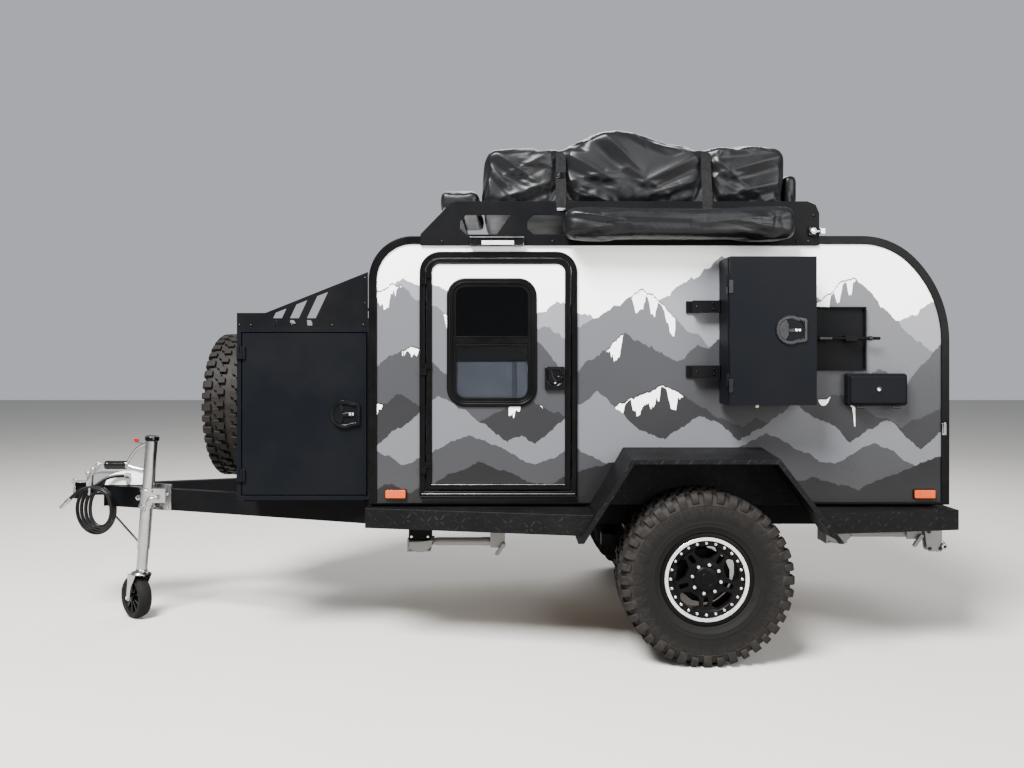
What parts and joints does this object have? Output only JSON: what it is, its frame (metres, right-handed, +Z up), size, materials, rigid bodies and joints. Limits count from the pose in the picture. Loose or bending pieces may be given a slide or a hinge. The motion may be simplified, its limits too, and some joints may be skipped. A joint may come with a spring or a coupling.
{
  "type": "off-road teardrop camper trailer",
  "caption": "Squared teardrop camper trailer with tongue box, nose jack, roof rack with folded tent, fenders and all-terrain wheels; it stands on its wheels and nose jack.",
  "frame": {"origin": "middle of the footprint on the ground", "axes": "+X to the rear, -Y to the left side, +Z up"},
  "size_m": [4.888, 2.128, 2.715],
  "materials": {
    "black_steel": "satin black powder coat",
    "tread_plate": "satin black tread plate with dust",
    "galvanised": "bright zinc",
    "body_panel": "white composite skin with grey ridge print",
    "roof_panel": "white composite skin",
    "birch_ply": "clear lacquer",
    "bed_cover": "woven",
    "black_trim": "satin black",
    "box_alloy": "satin black powder coat",
    "door_skin": "white skin with grey ridge print",
    "window_unit": "tinted pane in a black frame",
    "tyre_rubber": "dusty",
    "wheel_alloy": "satin black with machined lip",
    "tent_fabric": "glossy coated cloth",
    "lamp_lens": "clear amber and red",
    "cable_jacket": "satin",
    "caster_rubber": "satin"
  },
  "bodies": {
    "chassis": {"chassis_rails": "black_steel", "cross_members": "black_steel", "drawbar_rails": "black_steel", "coupling": "galvanised", "coupling_lever": "galvanised", "side_steps": "tread_plate", "fenders": "tread_plate", "suspension": "black_steel", "body_floor": "birch_ply", "body_skin": "roof_panel", "galley": "birch_ply", "mattress": "bed_cover", "edge_trims": "black_trim", "door_frames": "black_trim", "tongue_box": "box_alloy", "wing_plates": "black_steel", "spare_tyre": "tyre_rubber", "spare_rim": "wheel_alloy", "spare_carrier": "black_steel", "rack_plates": "black_steel", "rack_bars": "black_steel", "tent_cover": "tent_fabric", "bags": "tent_fabric", "side_box_mounts": "black_steel", "inlet_housing": "box_alloy", "lamps": "lamp_lens", "jack_clamp": "galvanised", "jack_tube": "galvanised", "cable_coil": "cable_jacket", "cable_lead": "cable_jacket", "cable_tail": "cable_jacket", "cable_ferrule": "galvanised", "leg_brackets": "black_steel", "recovery_brackets": "galvanised", "body_side_left": "body_panel", "body_side_right": "body_panel"},
    "wheel_left": {"tyre_left": "tyre_rubber", "rim_left": "wheel_alloy"},
    "wheel_right": {"tyre_right": "tyre_rubber", "rim_right": "wheel_alloy"},
    "jack_slider": {"jack_inner": "galvanised"},
    "jack_swivel": {"jack_fork": "galvanised"},
    "jack_caster": {"jack_wheel": "caster_rubber"},
    "leg_front_left": {"leg_front_left": "galvanised"},
    "leg_front_right": {"leg_front_right": "galvanised"},
    "leg_rear_left": {"leg_rear_left": "galvanised"},
    "leg_rear_right": {"leg_rear_right": "galvanised"},
    "cabin_door_left": {"door_left": "door_skin", "window_left": "window_unit"},
    "box_door_left": {"tongue_door_left": "box_alloy"},
    "cabin_door_right": {"door_right": "door_skin", "window_right": "window_unit"},
    "box_door_right": {"tongue_door_right": "box_alloy"},
    "kitchen_box": {"side_box": "box_alloy"},
    "kitchen_box_door": {"side_box_door": "box_alloy"},
    "inlet_cover": {"inlet_lid": "box_alloy"},
    "galley_hatch": {"rear_hatch": "roof_panel"}
  },
  "joints": [
    {"name": "wheel_left_spin", "type": "hinge", "parent": "chassis", "child": "wheel_left", "pos_m": [1.085, -0.9075, 0.417], "axis": [0, 1, 0], "continuous": true},
    {"name": "wheel_right_spin", "type": "hinge", "parent": "chassis", "child": "wheel_right", "pos_m": [1.085, 0.9075, 0.417], "axis": [0, 1, 0], "continuous": true},
    {"name": "jack_wind", "type": "slide", "parent": "chassis", "child": "jack_slider", "axis": [-0.0792, 0, -0.9969], "range_m": [-0.11, 0.15]},
    {"name": "jack_swivel_turn", "type": "hinge", "parent": "jack_slider", "child": "jack_swivel", "pos_m": [-1.95116, -0.24, 0.26938], "axis": [0.0792, 0, 0.9969], "continuous": true},
    {"name": "jack_caster_spin", "type": "hinge", "parent": "jack_swivel", "child": "jack_caster", "pos_m": [-1.99136, -0.21622, 0.12], "axis": [0.6428, 0.766, 0], "continuous": true},
    {"name": "leg_front_left_drop", "type": "hinge", "parent": "chassis", "child": "leg_front_left", "pos_m": [0.08, -0.61, 0.515], "axis": [0, -1, 0], "range_deg": [0, 95]},
    {"name": "leg_front_right_drop", "type": "hinge", "parent": "chassis", "child": "leg_front_right", "pos_m": [0.08, 0.61, 0.515], "axis": [0, -1, 0], "range_deg": [0, 95]},
    {"name": "leg_rear_left_drop", "type": "hinge", "parent": "chassis", "child": "leg_rear_left", "pos_m": [2.25, -0.61, 0.56], "axis": [0, -1, 0], "range_deg": [0, 95]},
    {"name": "leg_rear_right_drop", "type": "hinge", "parent": "chassis", "child": "leg_rear_right", "pos_m": [2.25, 0.61, 0.56], "axis": [0, -1, 0], "range_deg": [0, 95]},
    {"name": "cabin_door_left_hinge", "type": "hinge", "parent": "chassis", "child": "cabin_door_left", "pos_m": [-0.284, -0.77, 1.4], "axis": [0, 0, -1], "range_deg": [0, 110]},
    {"name": "box_door_left_hinge", "type": "hinge", "parent": "chassis", "child": "box_door_left", "pos_m": [-1.237, -0.711, 1.2], "axis": [0, 0, -1], "range_deg": [0, 110]},
    {"name": "cabin_door_right_hinge", "type": "hinge", "parent": "chassis", "child": "cabin_door_right", "pos_m": [-0.284, 0.77, 1.4], "axis": [0, 0, 1], "range_deg": [0, 110]},
    {"name": "box_door_right_hinge", "type": "hinge", "parent": "chassis", "child": "box_door_right", "pos_m": [-1.237, 0.711, 1.2], "axis": [0, 0, 1], "range_deg": [0, 110]},
    {"name": "kitchen_box_swing", "type": "hinge", "parent": "chassis", "child": "kitchen_box", "pos_m": [1.08, -0.79, 1.57], "axis": [0, 0, -1], "range_deg": [0, 75]},
    {"name": "kitchen_box_door_hinge", "type": "hinge", "parent": "kitchen_box", "child": "kitchen_box_door", "pos_m": [1.199, -0.963, 1.6], "axis": [0, 0, -1], "range_deg": [0, 100]},
    {"name": "inlet_cover_hinge", "type": "hinge", "parent": "chassis", "child": "inlet_cover", "pos_m": [1.995, -0.784, 1.228], "axis": [1, 0, 0], "range_deg": [0, 95]},
    {"name": "galley_hatch_hinge", "type": "hinge", "parent": "chassis", "child": "galley_hatch", "pos_m": [1.938, 0, 2.101], "axis": [0, -1, 0], "range_deg": [0, 85]}
  ]
}
